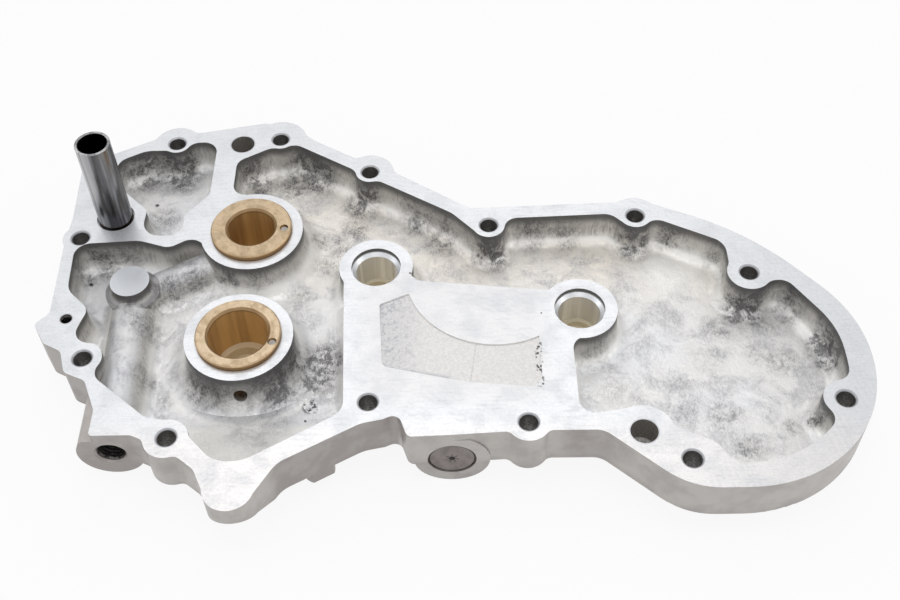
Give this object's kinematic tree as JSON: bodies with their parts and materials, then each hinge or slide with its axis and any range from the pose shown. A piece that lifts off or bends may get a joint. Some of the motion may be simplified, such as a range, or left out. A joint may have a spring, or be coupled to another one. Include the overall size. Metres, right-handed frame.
{
  "type": "cam cover",
  "caption": "Cast aluminium cam cover seen gasket side up: gear chambers, flanged shaft bushes, stud bushes, dowel holes, an oil supply boss and a breather tube.",
  "frame": {"origin": "axis of the cam shaft's bush at the machined gasket face", "axes": "+X along the cover's length, from the breather tube's end to the big round end; +Y from the cam shaft's bush to the pinion shaft's bush; +Z out of the gasket face, away from the cover"},
  "size_m": [0.3272, 0.2016, 0.0743],
  "materials": {
    "cast_aluminium": "burnished casting with a machined gasket face",
    "cam_bronze": "machined bronze, worn",
    "pinion_bronze": "machined bronze, worn",
    "pin_steel": "ground steel, dulled",
    "stud_bush_metal": "honed",
    "tube_steel": "drawn tube, bright",
    "plug_steel": "dull, staked"
  },
  "bodies": {
    "root": {"cover_casting": "cast_aluminium", "cam_shaft_bush": "cam_bronze", "pinion_shaft_bush": "pinion_bronze", "cam_bush_pin": "pin_steel", "pinion_bush_pin": "pin_steel", "idler_stud_bush": "stud_bush_metal", "drive_stud_bush": "stud_bush_metal", "breather_tube": "tube_steel", "passage_plug": "plug_steel"}
  },
  "joints": []
}
